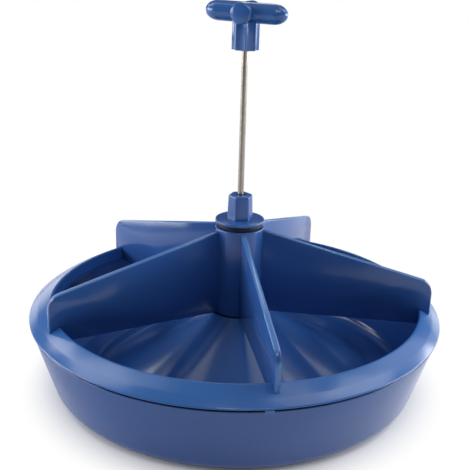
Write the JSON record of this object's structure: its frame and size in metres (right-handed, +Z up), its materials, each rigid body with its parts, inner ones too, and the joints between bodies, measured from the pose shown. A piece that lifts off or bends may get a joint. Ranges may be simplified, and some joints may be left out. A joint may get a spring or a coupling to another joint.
{
  "type": "pig feeding bowl",
  "caption": "Round piglet feeding bowl with divided feeding places, a collar ring and a sprung anchor rod with a T-handle that hooks under a slatted floor.",
  "frame": {"origin": "on the floor, under the centre of the bowl, on the rod's axis", "axes": "+Z up along the anchor rod; -Y along the front divider, so the dividers are mirrored across the YZ plane"},
  "size_m": [0.28, 0.28, 0.2583],
  "materials": {
    "blue_plastic": "injection-moulded polypropylene, glossy, slightly scuffed",
    "black_rubber": "matt black rubber ring",
    "stainless_steel": "bright drawn stainless steel",
    "spring_steel": "bare spring wire"
  },
  "bodies": {
    "base": {"bowl": "blue_plastic", "collar_ring": "blue_plastic", "hub_tube": "blue_plastic", "divider_1": "blue_plastic", "divider_2": "blue_plastic", "divider_3": "blue_plastic", "divider_4": "blue_plastic", "divider_5": "blue_plastic", "cap_seal": "black_rubber", "guide_cap": "blue_plastic", "lower_spring_washer": "stainless_steel", "spring": "spring_steel"},
    "spring_seat": {"upper_spring_washer": "stainless_steel"},
    "spindle": {"anchor_rod": "stainless_steel", "t_handle": "blue_plastic", "handle_pin": "stainless_steel", "retaining_clip": "stainless_steel"}
  },
  "joints": [
    {"name": "rod_press", "type": "slide", "parent": "base", "child": "spring_seat", "axis": [0, 0, -1], "range_m": [0, 0.036], "stiffness_N_per_m": 800, "springref_m": -0.01, "deforming": ["spring"]},
    {"name": "rod_turn", "type": "hinge", "parent": "spring_seat", "child": "spindle", "pos_m": [0, 0, 0.15], "axis": [0, 0, 1], "continuous": true}
  ]
}
